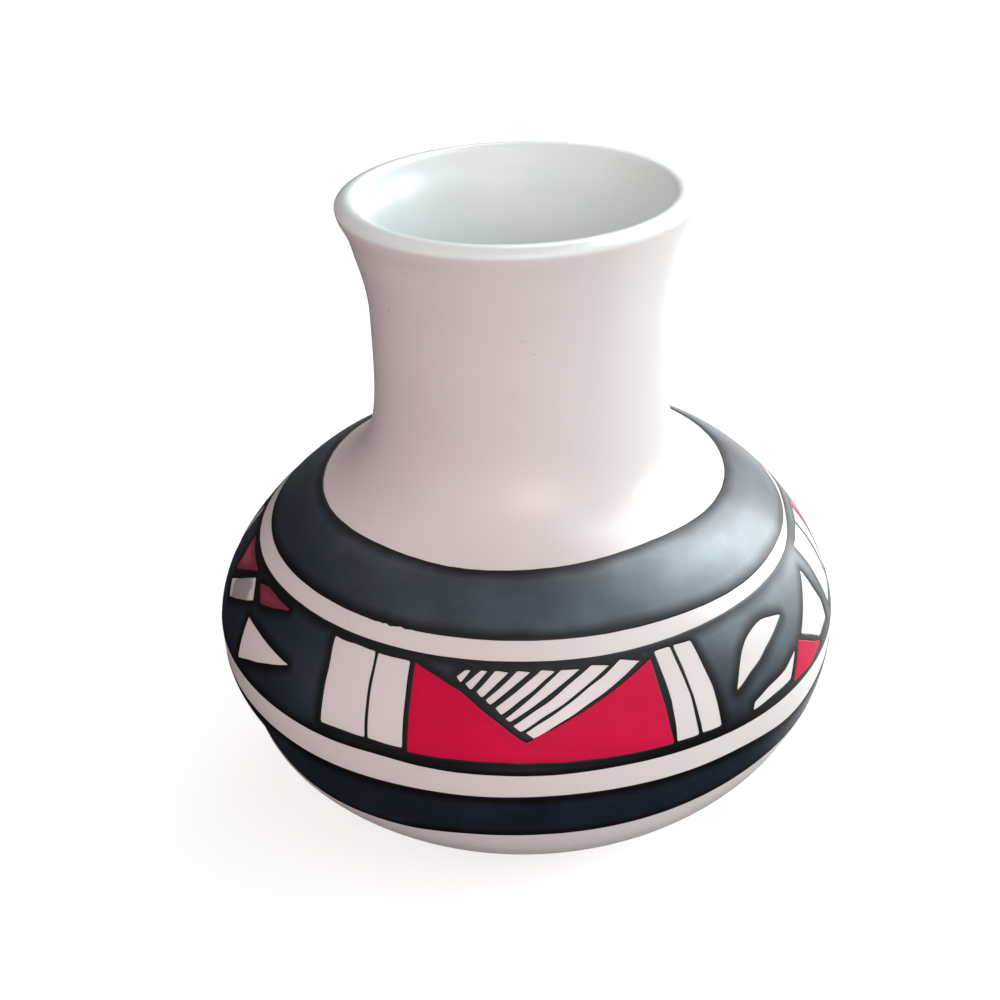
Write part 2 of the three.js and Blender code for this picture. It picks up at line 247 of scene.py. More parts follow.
# Paints: colour of the drawn border, colour of the field, how much its strokes vary, roughness, gloss of
# the field, and gloss of the border where it differs
Paint = namedtuple("Paint", "border field relief roughness gloss border_gloss", defaults=(None,))
BLACK_PAINT = Paint((0.004, 0.0025, 0.0025), (0.005, 0.009, 0.018), 0.45, 0.43, 0.62, 0.2)
RED_PAINT = Paint((0.6, 0.001, 0.044), (0.6, 0.001, 0.045), 0.15, 0.5, 0.12)
DARK_RED_PAINT = Paint((0.2, 0.016, 0.04), (0.34, 0.043, 0.095), 0.4, 0.5, 0.28)
PAINT_TINT = (0.88, 0.95, 1.0, 1)
PAINT_BORDER = 2.4 * MM

# The camera stands where the photograph was taken from
CAMERA_BACK = 258.1 * MM
CAMERA_HEIGHT = 199.9 * MM
CAMERA_PITCH = math.radians(28.89)
CAMERA_YAW = math.radians(-1.0)
CAMERA_ROLL = math.radians(-2.04)
CAMERA_LENS = 54.77
CAMERA_SENSOR = 36
CAMERA_NEAR = 10 * MM

# The studio. The floor's glow rises to full white between two distances from the jar.
JAR_MIDDLE = (0, 0, 60 * MM)
LAMP_DISTANCE = 1.0
WORLD_LEVEL = 0.35
WHITE = (1, 1, 1, 1)
SHEET_COLOUR = (0.03, 0.03, 0.03, 1)
FLOOR_COLOUR = (0.7, 0.7, 0.7, 1)
FLOOR_HALF = 4.0
FLOOR_GLOW = 0.6
FLOOR_GLOW_RISE = (0.3, 0.9)

# Dark sheets for the gloss to reflect: from which angle round the jar to which, and for the cards how high
SHEET_DISTANCE = 0.6
SHEET_STEP = 5
DARK_TABLE = (-190, 85)
DARK_TABLE_LIFT = 0.5 * MM
DARK_CARDS = {"left_card": (-235, -55, 0.7), "right_card": (25, 90, 0.1)}


def leaning(degrees):
    """Direction in the wall's section, as out and up."""
    angle = math.radians(degrees)
    return np.array([math.sin(angle), math.cos(angle)])


def stretch(low, low_lean, high, high_lean, hold):
    """Points of one curve of the wall, which leaves and arrives at the given leans."""
    rise = high[1] - low[1]
    low_handle = low + leaning(low_lean) * hold[0] * rise
    high_handle = high - leaning(high_lean) * hold[1] * rise
    t = np.linspace(0, 1, CURVE_SAMPLES)[:, None]
    return (
        low * (1 - t) ** 3
        + low_handle * 3 * t * (1 - t) ** 2
        + high_handle * 3 * t**2 * (1 - t)
        + high * t**3
    )


def wall_curve():
    """The glazed outside from the table to the rim, with the way along it at each point."""
    foot = np.array([FOOT_RADIUS, 0])
    belly = np.array([BELLY_RADIUS, BELLY_RISE])
    shoulder = np.array([SHOULDER_RADIUS, belly[1] + SHOULDER_RISE])
    waist = np.array([WAIST_RADIUS, shoulder[1] + NECK_RISE])
    rim = np.array([RIM_RADIUS, waist[1] + FLARE_RISE])
    parts = [
        stretch(foot, FOOT_LEAN, belly, 0, BELLY_HOLD),
        stretch(belly, 0, shoulder, SHOULDER_LEAN, SHOULDER_HOLD),
        stretch(shoulder, SHOULDER_LEAN, waist, 0, NECK_HOLD),
        stretch(waist, 0, rim, RIM_LEAN, FLARE_HOLD),
    ]
    points = np.concatenate([parts[0]] + [part[1:] for part in parts[1:]])
    steps = np.linalg.norm(np.diff(points, axis=0), axis=1)
    along = np.concatenate([[0], np.cumsum(steps)])
    tangents = np.gradient(points, along, axis=0)
    tangents /= np.linalg.norm(tangents, axis=1)[:, None]
    return along, points, tangents


Wall = namedtuple("Wall", "along points tangents")
wall = Wall(*wall_curve())
wall_end = wall.along[-1]
rim_height = wall.points[-1][1]


def along_at(height):
    """The way along the wall at which it reaches a height."""
    return np.interp(height, wall.points[:, 1], wall.along)


def section(along, lift=0.0):
    """Radius and height on the wall, lifted off it along its normal."""
    radius = np.interp(along, wall.along, wall.points[:, 0])
    height = np.interp(along, wall.along, wall.points[:, 1])
    out = np.interp(along, wall.along, wall.tangents[:, 1])
    down = -np.interp(along, wall.along, wall.tangents[:, 0])
    return radius + out * lift, height + down * lift


def round_jar(radius, height, angle):
    """Points in space, from the section and the angle round the jar."""
    places = np.broadcast_arrays(radius * np.sin(angle), -radius * np.cos(angle), height)
    return np.stack(places, axis=-1)


def wander(share, waves, seed):
    """A wave of about unit size that closes on itself, at each share of the way round."""
    random = np.random.default_rng(seed)
    total = np.zeros_like(share)
    for wave in range(1, max(2, waves) + 1):
        size = random.normal() / math.sqrt(waves)
        phase = random.uniform(0, 2 * math.pi)
        total += size * np.sin(2 * math.pi * wave * share + phase)
    return total


def degrees_off(middle, degrees):
    """Degrees from a place round the jar, the short way."""
    return (degrees - middle + 180) % 360 - 180


def by_hand(points):
    """Moves points in or out as the potter's hands left the wall."""
    x, y, z = points.T
    radius = np.hypot(x, y)
    degrees = np.degrees(np.arctan2(x, -y))
    roll = np.clip((z - rim_height + LIP_BEAD_DROP) / LIP_BEAD_RISE, 0, 1)
    push = LIP_BEAD * roll * roll * (3 - 2 * roll)
    push -= LIP_GROOVE * np.exp(-(((z - rim_height + LIP_GROOVE_DROP) / LIP_GROOVE_REACH) ** 2))
    for middle, height, spread, reach, depth in WALL_DENTS:
        off = degrees_off(middle, degrees)
        push += depth * np.exp(-((off / spread) ** 2) - ((z - height) / reach) ** 2)
    push += wander(degrees / 360, WOBBLE_WAVES, WOBBLE_SEED) * WALL_WOBBLE
    share = np.clip(radius / STILL_RADIUS, 0, 1)
    scale = 1 + push * share / np.maximum(radius, MM)
    return np.stack([x * scale, y * scale, z], axis=1)


def mesh_piece(name, points, faces, material, slot, node, edge=None):
    """A smooth piece of the jar that stands for one node of the frame."""
    mesh = bpy.data.meshes.new(name)
    mesh.from_pydata([tuple(p) for p in by_hand(points)], [], faces)
    if edge is not None:
        mesh.attributes.new("edge", "FLOAT", "POINT").data.foreach_set("value", edge)
    mesh.shade_smooth()
    mesh.set_sharp_from_angle(angle=CREASE_ANGLE)
    mesh.materials.append(material)
    piece = bpy.data.objects.new(name, mesh)
    bpy.context.scene.collection.objects.link(piece)
    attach(piece, "root")
    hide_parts(node)


def turned(rows):
    """Points and faces of a profile turned round the axis. Rows on the axis become one point."""
    angles = np.linspace(0, 2 * math.pi, TURN_SEGMENTS, endpoint=False)
    points = []
    rings = []
    for radius, height in rows:
        if radius < TINY:
            rings.append([len(points)] * TURN_SEGMENTS)
            points.append((0.0, 0.0, height))
        else:
            rings.append(list(range(len(points), len(points) + TURN_SEGMENTS)))
            points.extend(round_jar(radius, height, angles))
    closing = rings[:1] if rows[0][0] > TINY else []
    faces = []
    for low, high in zip(rings, rings[1:] + closing):
        for i in range(TURN_SEGMENTS):
            j = (i + 1) % TURN_SEGMENTS
            faces.append(tuple(dict.fromkeys([low[i], low[j], high[j], high[i]])))
    return np.array(points), faces


def wall_rows(start, end, lift):
    """Rows of the section along the wall, from one way along it to another."""
    steps = max(2, round(abs(end - start) / WALL_STEP))
    return [section(along, lift) for along in np.linspace(start, end, steps + 1)]


def lip_rows(start, end, depth):
    """Rows round the lip, which is half an oval set square on the top of the wall."""
    rim, along = wall.points[-1], wall.tangents[-1]
    across = np.array([along[1], -along[0]])
    width = WALL_THICKNESS / 2 + depth
    rise = LIP_RISE + depth
    rows = []
    for degrees in np.linspace(start, end, LIP_STEPS + 1)[1:]:
        angle = math.radians(degrees)
        point = rim + across * (width * math.cos(angle) - WALL_THICKNESS / 2)
        rows.append(tuple(point + along * rise * math.sin(angle)))
    return rows


def rounded(corner, before, after, radius, steps=FILLET_STEPS):
    """Rows of a small fillet at a corner of a section."""
    corner, before, after = (np.array(p, float) for p in (corner, before, after))
    first = (before - corner) / np.linalg.norm(before - corner)
    last = (after - corner) / np.linalg.norm(after - corner)
    shares = np.linspace(0, 1, steps + 1)
    return [tuple(corner + first * radius * (1 - t) ** 2 + last * radius * t**2) for t in shares]


def on_sheet(degrees, share):
    """A corner of the frieze laid out flat: the way round the belly and the way along the wall."""
    across = math.radians(degrees) * BELLY_RADIUS
    return np.array([across, along_at(FRIEZE_FOOT + share * FRIEZE_HEIGHT)])


def trace(corners, turn):
    """Close points on a closed outline of straight or bowed edges."""
    spots = [on_sheet(corner[0] + turn, corner[1]) for corner in corners]
    bows = [corner[2] if len(corner) > 2 else 0.0 for corner in corners]
    points = []
    for start, end, bow in zip(spots, spots[1:] + spots[:1], bows):
        edge = end - start
        # The curve comes half as far out as its control point
        control = (start + end) / 2 + np.array([edge[1], -edge[0]]) * bow * 2
        steps = max(2, int(np.linalg.norm(edge) / TRACE_STEP))
        t = (np.arange(steps) / steps)[:, None]
        points.append(start * (1 - t) ** 2 + control * 2 * t * (1 - t) + end * t**2)
    return np.concatenate(points)


def spaced(points, step):
    """Even points on a closed outline."""
    ring = np.concatenate([points, points[:1]])
    way = np.concatenate([[0], np.cumsum(np.linalg.norm(np.diff(ring, axis=0), axis=1))])
    count = max(LEAST_POINTS, round(way[-1] / step))
    spots = np.arange(count) / count * way[-1]
    return np.stack([np.interp(spots, way, ring[:, k]) for k in (0, 1)], axis=1)


def blunted(points, reach):
    """The same closed outline with its corners rounded, as a brush rounds them."""
    points = spaced(points, TRACE_STEP)
    count = len(points)
    offsets = np.minimum(np.arange(count), count - np.arange(count)) * TRACE_STEP
    weights = np.exp(-0.5 * (offsets / reach) ** 2)
    spectrum = np.fft.fft(weights / weights.sum())
    return np.stack([np.fft.ifft(np.fft.fft(points[:, k]) * spectrum).real for k in (0, 1)], axis=1)


def facing(points):
    """Unit normals of a closed outline, to its left."""
    along = np.roll(points, -1, axis=0) - np.roll(points, 1, axis=0)
    along /= np.linalg.norm(along, axis=1)[:, None]
    return np.stack([-along[:, 1], along[:, 0]], axis=1)


def painted_outline(corners, turn, seed, grow=0.0):
    """One painted outline: rounded corners, an edge that wanders a little, even points."""
    points = blunted(trace(corners, turn), BRUSH_CORNER)
    length = len(points) * TRACE_STEP
    share = np.arange(len(points)) / len(points)
    wave = wander(share, round(length / BRUSH_WAVE), seed) * BRUSH_WANDER
    area = np.sum(points[:, 0] * np.roll(points[:, 1], -1) - np.roll(points[:, 0], -1) * points[:, 1])
    outwards = -grow if area > 0 else grow
    return spaced(points + facing(points) * (wave + outwards)[:, None], EDGE_STEP)


def swerve(degrees, strays):
    """How far an edge strays up, in metres, at each place round the jar."""
    total = np.zeros_like(degrees)
    for middle, spread, height in strays:
        off = degrees_off(middle, degrees)
        total += height * MM * np.exp(-((off / spread) ** 2))
    return total


def band_line(edge):
    """The painted edge of a band, once round the sheet from seam to seam."""
    count = round(SHEET_WIDTH / EDGE_STEP)
    share = np.arange(count + 1) / count
    degrees = SEAM_ANGLE + 360 * share
    heights = edge.height + swerve(degrees, edge.strays)
    slow = wander(share, SLOW_WAVES, edge.seed) * BRUSH_WANDER
    fine = wander(share, FINE_WAVES, edge.seed + 1) * BRUSH_WANDER / FINE_LOWERING
    heights += slow + fine
    spot = np.exp(-(((degrees - RAGGED_SPOT[0]) / RAGGED_SPOT[1]) ** 2))
    heights += wander(share, RAGGED_WAVES, edge.seed + 2) * edge.ragged * spot
    return np.stack([SHEET_START + share * SHEET_WIDTH, along_at(heights)], axis=1)


def seam(low, high):
    """Points between the ends of two band edges, where the sheet meets itself."""
    steps = max(2, round((high[1] - low[1]) / EDGE_STEP))
    return [low + (high - low) * step / steps for step in range(1, steps)]


def band_boundary(low, high):
    """The closed outline of a band on its sheet."""
    left = seam(low[0], high[0])
    right = seam(low[-1], high[-1])
    return np.concatenate([low, right, high[::-1], left[::-1]])


def shifted(outline):
    """An outline moved round the sheet so that it starts past the seam."""
    turns = math.ceil((SHEET_START - outline[:, 0].min()) / SHEET_WIDTH)
    return outline + np.array([SHEET_WIDTH, 0]) * turns


def inside(points, starts, ends):
    """Which points lie inside the outlines, by counting the edges below each of them."""
    result = np.zeros(len(points), bool)
    low = np.minimum(starts[:, 0], ends[:, 0])
    high = np.maximum(starts[:, 0], ends[:, 0])
    cells = np.floor(points[:, 0] / SEARCH_CELL).astype(int)
    for number in np.unique(cells):
        chosen = np.nonzero(cells == number)[0]
        near = (high >= number * SEARCH_CELL) & (low <= (number + 1) * SEARCH_CELL)
        a, b = starts[near], ends[near]
        x = points[chosen, 0][:, None]
        y = points[chosen, 1][:, None]
        spans = (a[:, 0] <= x) != (b[:, 0] <= x)
        slope = (b[:, 1] - a[:, 1]) / np.where(b[:, 0] == a[:, 0], 1, b[:, 0] - a[:, 0])
        below = a[:, 1] + (x - a[:, 0]) * slope < y
        result[chosen] = (np.sum(spans & below, axis=1) % 2) == 1
    return result


def tree_of(points):
    """A search tree over points of the sheet."""
    tree = KDTree(len(points))
    for i, point in enumerate(points):
        tree.insert((point[0], point[1], 0), i)
    tree.balance()
    return tree


def distances(tree, points):
    """How far each point is from the nearest one in the tree."""
    return np.array([tree.find((x, y, 0))[2] for x, y in points])


def dense(points, closed):
    """Points close enough together on an outline to measure distances from it."""
    ends = np.roll(points, -1, axis=0) if closed else points[1:]
    starts = points if closed else points[:-1]
    shares = np.arange(EDGE_PARTS) / EDGE_PARTS
    return np.concatenate([starts + (ends - starts) * share for share in shares])


def thinned(points, gap):
    """The points that keep a gap to the ones before them."""
    kept = []
    cells = {}
    around = [(i, j) for i in (-1, 0, 1) for j in (-1, 0, 1)]
    for x, y in points:
        column, row = int(x // gap), int(y // gap)
        near = [p for i, j in around for p in cells.get((column + i, row + j), ())]
        if all((x - p[0]) ** 2 + (y - p[1]) ** 2 > gap * gap for p in near):
            cells.setdefault((column, row), []).append((x, y))
            kept.append((x, y))
    return kept


def fill_points(loops, edge_tree, starts, ends):
    """Points between the outlines: rows close to each edge, and an even field between them."""
    wanted = []
    for row in INSET_ROWS:
        for loop in loops:
            shift = facing(loop) * row
            for side in (loop + shift, loop - shift):
                wanted.extend(side[distances(edge_tree, side) > INSET_CLEARANCE * row])
    every = np.concatenate(loops)
    (left, low), (right, high) = every.min(axis=0), every.max(axis=0)
    rise = FILL_STEP * math.sqrt(3) / 2
    for number, y in enumerate(np.arange(low, high, rise)):
        x = np.arange(left + (number % 2) * FILL_STEP / 2, right, FILL_STEP)
        field = np.stack([x, np.full_like(x, y)], axis=1)
        wanted.extend(field[distances(edge_tree, field) > FILL_CLEARANCE * FILL_STEP])
    wanted = np.array(wanted)
    return np.array(thinned(wanted[inside(wanted, starts, ends)], POINT_GAP))


def coat_faces(points, edges, starts, ends):
    """Triangles between the outlines, each turned to face outwards."""
    found = delaunay_2d_cdt([Vector(p) for p in points], edges, [], 0, TINY)
    corners = np.array([tuple(p) for p in found[0]])
    triangles = np.array([face for face in found[2] if len(face) == 3])
    middles = corners[triangles].mean(axis=1)
    triangles = triangles[inside(middles, starts, ends)]
    a, b, c = (corners[triangles[:, k]] for k in range(3))
    turn = (b[:, 0] - a[:, 0]) * (c[:, 1] - a[:, 1]) - (b[:, 1] - a[:, 1]) * (c[:, 0] - a[:, 0])
    triangles[turn < 0] = triangles[turn < 0][:, ::-1]
    return corners, triangles


def swell(distance, thickness):
    """Height of a coat of paint at a distance from its edge."""
    share = np.clip(distance / PAINT_SHOULDER, 0, 1)
    return PAINT_EDGE + (thickness - PAINT_EDGE) * np.sqrt(1 - (1 - share) ** 2)


def closed_coat(outside, under, triangles):
    """Joins the two faces of a coat along its edges, and the ends of a band at its seam."""
    keys = {}
    places = [tuple(np.round(point / MERGE_GRID).astype(int)) for point in outside]
    merged = np.array([keys.setdefault(place, len(keys)) for place in places])
    triangles = merged[triangles]
    count = len(keys)
    points = np.zeros((2 * count, 3))
    points[merged] = outside
    points[merged + count] = under
    sides = {}
    for a, b, c in triangles:
        for pair in ((a, b), (b, c), (c, a)):
            sides[pair] = True
    rim = [(a, b) for a, b in sides if (b, a) not in sides]
    faces = [tuple(face) for face in triangles]
    faces += [tuple(face[::-1] + count) for face in triangles]
    faces += [(b, a, a + count, b + count) for a, b in rim]
    return merged, points, faces


def coat(name, boundary, painted, openings, thickness, material, slot, node):
    """A thin coat of paint on the glaze, with a rounded edge all round each outline."""
    loops = [boundary] + openings
    starts = np.concatenate(loops)
    ends = np.concatenate([np.roll(loop, -1, axis=0) for loop in loops])
    edge_tree = tree_of(np.concatenate(painted + [dense(loop, True) for loop in openings]))
    edges = []
    for loop in loops:
        first = len(edges)
        edges.extend((first + i, first + (i + 1) % len(loop)) for i in range(len(loop)))
    points = np.concatenate([starts, fill_points(loops, edge_tree, starts, ends)])
    corners, triangles = coat_faces(points, edges, starts, ends)
    depth = distances(edge_tree, corners)
    angle = corners[:, 0] / BELLY_RADIUS
    outside = round_jar(*section(corners[:, 1], swell(depth, thickness)), angle)
    under = round_jar(*section(corners[:, 1], -PAINT_ROOT), angle)
    merged, points, faces = closed_coat(outside, under, triangles)
    edge = np.zeros(len(points))
    edge[merged] = depth
    mesh_piece(name, points, faces, material, slot, node, edge)


def band_coat(name, edges, openings, material, node):
    """A band of black paint between its lower and its upper edge."""
    low, high = (band_line(edge) for edge in edges)
    painted = [dense(low, False), dense(high, False)]
    boundary = band_boundary(low, high)
    coat(name, boundary, painted, openings, BLACK_THICKNESS, material, "black_paint", node)


def motif_seed(turn, number):
    """A seed for each outline, the same for an opening and for its red field, so that they wander alike."""
    return int(turn * 10) % TENTHS_IN_TURN + number * SEED_STEP


def motif_openings(shapes, turn, first=0, grow=0.0):
    """The openings of one motif at its place round the jar."""
    openings = []
    for number, shape in enumerate(shapes, first):
        openings.append(shifted(painted_outline(shape, turn, motif_seed(turn, number), grow)))
    return openings


def frieze_openings():
    """Every opening of the black frieze."""
    openings = []
    for turn in PANEL_ANGLES.values():
        openings += motif_openings(PANEL_SHAPES, turn)
        openings += motif_openings(PANEL_BARS, turn, len(PANEL_SHAPES), -BAR_SHRINK)
    for turn in FEATHER_ANGLES.values():
        openings += motif_openings(FEATHER_SHAPES, turn)
    return openings + motif_openings(ARROW_SHAPES, ARROW_ANGLE)


def red_coat(node, shapes, red_shape, turn, material):
    """The red field that fills one opening of a motif, and reaches a little under its edge."""
    seed = motif_seed(turn, shapes.index(red_shape))
    outline = painted_outline(red_shape, turn, seed, RED_UNDERLAP)
    painted = [dense(outline, True)]
    coat(f"{node}_coat", outline, painted, [], RED_THICKNESS, material, "red_paint", node)


class Shader:
    """A procedural material, as one surface shader and the nodes that feed it."""

    def __init__(self, name, **sockets):
        self.material = bpy.data.materials.new(name)
        self.material.use_nodes = True
        self.tree = self.material.node_tree
        self.surface = self.tree.nodes["Principled BSDF"]
        for socket, value in sockets.items():
            self.surface.inputs[socket.replace("_", " ")].default_value = value
        self.place = self.tree.nodes.new("ShaderNodeTexCoord").outputs["Object"]

    def node(self, kind, **values):
        """A new node with some of its settings."""
        node = self.tree.nodes.new(kind)
        for name, value in values.items():
            setattr(node, name, value)
        return node

    def link(self, source, target):
        """Feeds one socket from another."""
        self.tree.links.new(source, target)

    def feed(self, source, socket):
        """Feeds a socket of the surface, by its name."""
        self.link(source, self.surface.inputs[socket])

    def maths(self, operation, first, second=0.0):
        """A sum on two values, each a number or a socket."""
        node = self.node("ShaderNodeMath", operation=operation)
        for socket, value in zip(node.inputs, (first, second)):
            if isinstance(value, (int, float)):
                socket.default_value = value
            else:
                self.link(value, socket)
        return node.outputs[0]

    def about_zero(self, value, size):
        """Noise moved to lie about zero, and scaled."""
        return self.maths("MULTIPLY", self.maths("SUBTRACT", value, 0.5), size)

    def noise(self, scale, detail=3.0, place=None, roughness=0.5):
        """Noise with a number of repeats in a metre, or in a unit of the places given."""
        node = self.node("ShaderNodeTexNoise")
        node.inputs["Scale"].default_value = scale
        node.inputs["Detail"].default_value = detail
        node.inputs["Roughness"].default_value = roughness
        self.link(place or self.place, node.inputs["Vector"])
        return node.outputs["Fac"]

    def ramp(self, factor, *stops):
        """Colours or grey levels, each at its place between 0 and 1."""
        node = self.node("ShaderNodeValToRGB")
        while len(node.color_ramp.elements) < len(stops):
            node.color_ramp.elements.new(0.5)
        for element, (position, colour) in zip(node.color_ramp.elements, stops):
            element.position = position
            element.color = (*colour, 1) if isinstance(colour, tuple) else (colour, colour, colour, 1)
        self.link(factor, node.inputs["Fac"])
        return node.outputs["Color"]

    def mixed(self, factor, first, second):
        """A blend of two colours, by a number or a socket."""
        node = self.node("ShaderNodeMix", data_type="RGBA")
        colours = [socket for socket in node.inputs if socket.type == "RGBA"]
        if isinstance(factor, float):
            node.inputs["Factor"].default_value = factor
        else:
            self.link(factor, node.inputs["Factor"])
        for socket, value in zip(colours, (first, second)):
            if isinstance(value, tuple):
                socket.default_value = (*value, 1)
            else:
                self.link(value, socket)
        return next(socket for socket in node.outputs if socket.type == "RGBA")

    def attribute(self, name):
        """A value that the mesh carries at each of its points."""
        return self.node("ShaderNodeAttribute", attribute_name=name).outputs["Fac"]

    def distance_to(self, place):
        """Distance from a fixed place."""
        node = self.node("ShaderNodeVectorMath", operation="DISTANCE")
        self.link(self.place, node.inputs[0])
        node.inputs[1].default_value = place
        return node.outputs["Value"]

    def axes(self):
        """The three parts of the place on the surface."""
        split = self.node("ShaderNodeSeparateXYZ")
        self.link(self.place, split.inputs[0])
        return split.outputs

    def level_square(self, x, y):
        """The square of the distance from the jar's axis."""
        return self.maths("ADD", self.maths("MULTIPLY", x, x), self.maths("MULTIPLY", y, y))

    def bump(self, *layers):
        """Unevenness of the surface: pairs of a height between 0 and 1 and its depth in metres."""
        normal = None
        for height, depth in layers:
            node = self.node("ShaderNodeBump")
            node.inputs["Distance"].default_value = depth
            self.link(height, node.inputs["Height"])
            if normal is not None:
                self.link(normal, node.inputs["Normal"])
            normal = node.outputs["Normal"]
        self.feed(normal, "Normal")

    def brushed(self, across, round_the_jar):
        """Places stretched round the jar, so that noise on them streaks as a turning brush does."""
        x, y, z = self.axes()
        angle = self.maths("ARCTAN2", x, self.maths("MULTIPLY", y, -1.0))
        radius = self.maths("SQRT", self.level_square(x, y))
        join = self.node("ShaderNodeCombineXYZ")
        self.link(self.maths("MULTIPLY", angle, round_the_jar), join.inputs[0])
        self.link(self.maths("MULTIPLY", z, across), join.inputs[1])
        self.link(self.maths("MULTIPLY", radius, across), join.inputs[2])
        return join.outputs[0]


def smoky(shader, colour, mottle):
    """A colour with the smoky wash over one spot of the frieze."""
    degrees, share, reach = SMOKE
    middle = round_jar(*section(along_at(FRIEZE_FOOT + share * FRIEZE_HEIGHT)), math.radians(degrees))
    off = shader.maths("DIVIDE", shader.distance_to(middle), reach)
    off = shader.maths("ADD", off, shader.about_zero(mottle, SMOKE_RAGGED))
    return shader.mixed(shader.ramp(off, (0.75, 0.85), (1.0, 0.0)), colour, SMOKE_COLOUR)


def lip_tinted(shader, colour, clouds, lip):
    """A colour that gives way to another on the roll of the lip, along a slightly ragged line."""
    height = shader.maths("ADD", shader.axes()[2], shader.maths("MULTIPLY", clouds, LIP_TINT_RAGGED))
    over = shader.maths("SUBTRACT", height, rim_height - LIP_TINT_DROP)
    share = shader.maths("DIVIDE", over, LIP_TINT_FADE)
    return shader.mixed(shader.ramp(share, (0.0, 0.0), (1.0, 1.0)), colour, lip)


def glaze(name, recipe):
    """A smooth glaze with faint clouds and a few pits."""
    shader = Shader(name, Specular_IOR_Level=recipe.gloss, Roughness=0.28)
    clouds = shader.noise(38, 4)
    mottle = shader.noise(420, 2)
    colour = shader.mixed(clouds, recipe.warm, recipe.pale)
    colour = shader.mixed(shader.ramp(mottle, (0.35, 0.0), (0.75, 0.16)), colour, recipe.warm)
    pits = shader.ramp(shader.noise(900, 1), (0.74, 0.0), (0.8, 0.8))
    rare = shader.ramp(shader.noise(130, 0), (0.66, 0.0), (0.72, 0.4))
    specks = shader.mixed(pits, (0.0, 0.0, 0.0), rare)
    colour = shader.mixed(specks, colour, recipe.speck)
    if recipe.lip is not None:
        colour = smoky(shader, colour, mottle)
        colour = lip_tinted(shader, colour, clouds, recipe.lip)
    shader.feed(colour, "Base Color")
    shader.bump((shader.noise(260, 2), 0.03 * MM), (shader.noise(55, 1), 0.15 * MM))
    return shader.material


def paint(name, recipe):
    """Brushed paint: a drawn border along every edge and a filled field with soft, mottled strokes."""
    gloss, relief = recipe.gloss, recipe.relief
    shader = Shader(name, Specular_Tint=PAINT_TINT, Roughness=recipe.roughness, Specular_IOR_Level=gloss)
    strokes = shader.noise(1, 4, shader.brushed(300, 2.0), 0.55)
    pools = shader.noise(110, 3)
    mottle = shader.mixed(0.75, strokes, pools)
    inset = shader.maths("DIVIDE", shader.attribute("edge"), PAINT_BORDER)
    inset = shader.maths("ADD", inset, shader.about_zero(pools, 0.5))
    filled = shader.ramp(inset, (0.3, 0.0), (1.0, 1.0))
    light = tuple(channel * (1 + relief) for channel in recipe.field)
    colour = shader.mixed(shader.ramp(mottle, (0.42, 0.0), (0.68, 1.0)), recipe.field, light)
    shader.feed(shader.mixed(filled, recipe.border, colour), "Base Color")
    if recipe.border_gloss is not None:
        least, most = gloss * (1 - relief / 3), gloss * (1 + relief / 3)
        strokes_gloss = shader.ramp(mottle, (0.4, least), (0.66, most))
        sheen = shader.mixed(filled, (recipe.border_gloss,) * 3, strokes_gloss)
        shader.feed(sheen, "Specular IOR Level")
    shader.bump((mottle, 0.02 * MM), (shader.noise(700, 2), 0.012 * MM))
    return shader.material


def bare_clay():
    """Grainy fired clay with faint rings from the wheel."""
    shader = Shader("bare_clay", Specular_IOR_Level=0.25)
    grain = shader.noise(1400, 4)
    rings = shader.noise(1, 3, shader.brushed(1500, 0.6))
    colour = shader.mixed(grain, (0.60, 0.49, 0.39), (0.74, 0.64, 0.54))
    colour = shader.mixed(shader.ramp(rings, (0.4, 0.0), (0.7, 0.35)), colour, (0.52, 0.41, 0.32))
    shader.feed(colour, "Base Color")
    shader.feed(shader.ramp(grain, (0.2, 0.75), (0.8, 0.95)), "Roughness")
    shader.bump((grain, 0.06 * MM), (rings, 0.12 * MM))
    return shader.material


def clay_body(material):
    """The clay under the glazes, with its bare foot ring and the recess inside it."""
    clay_out = -GLAZE_THICKNESS
    clay_in = -WALL_THICKNESS + GLAZE_THICKNESS
    outer = FOOT_RADIUS - FOOT_EDGE
    inner = outer - FOOT_RING_WIDTH
    up, across = CLAY_CORNER
    rise = wall_rows(0, wall_end, clay_out)
    ceiling = (inner - FOOT_EDGE, FOOT_RECESS)
    fall = wall_rows(wall_end, along_at(FLOOR_THICKNESS), clay_in)
    hollow = [row for row in fall if row[1] > FLOOR_THICKNESS + up]
    rows = [(0.0, FOOT_RECESS), (ceiling[0] * 0.5, FOOT_RECESS)]
    rows += rounded(ceiling, rows[-1], (inner, 0), FOOT_EDGE / 2)
    rows += rounded((inner, 0), ceiling, (outer, 0), FOOT_EDGE)
    rows += rounded((outer, 0), (inner, 0), rise[0], FOOT_EDGE)
    rows += rise[1:] + lip_rows(0, 180, clay_out) + hollow[1:]
    rows += [(hollow[-1][0] - across, FLOOR_THICKNESS), (0.0, FLOOR_THICKNESS)]
    mesh_piece("clay_jar", *turned(rows), material, "bare_clay", "clay_body")


def outer_glaze(material):
    """Cream glaze from a rolled edge above the foot to the top of the lip."""
    start = along_at(BARE_FOOT_HEIGHT)
    rows = []
    for angle in np.linspace(0, math.pi / 2, ROLL_STEPS + 1):
        along = start + GLAZE_ROLL * (1 - math.cos(angle))
        rows.append(section(along, -GLAZE_THICKNESS * (1 - math.sin(angle))))
    rows += wall_rows(start + GLAZE_ROLL, wall_end, 0)[1:] + lip_rows(0, OUTER_GLAZE_END, 0)
    rows += lip_rows(OUTER_GLAZE_END, 0, -GLAZE_THICKNESS)[:-1]
    rows += wall_rows(wall_end, start + 2 * GLAZE_ROLL, -GLAZE_THICKNESS)
    mesh_piece("outer_glaze_skin", *turned(rows), material, "cream_glaze", "outer_glaze")


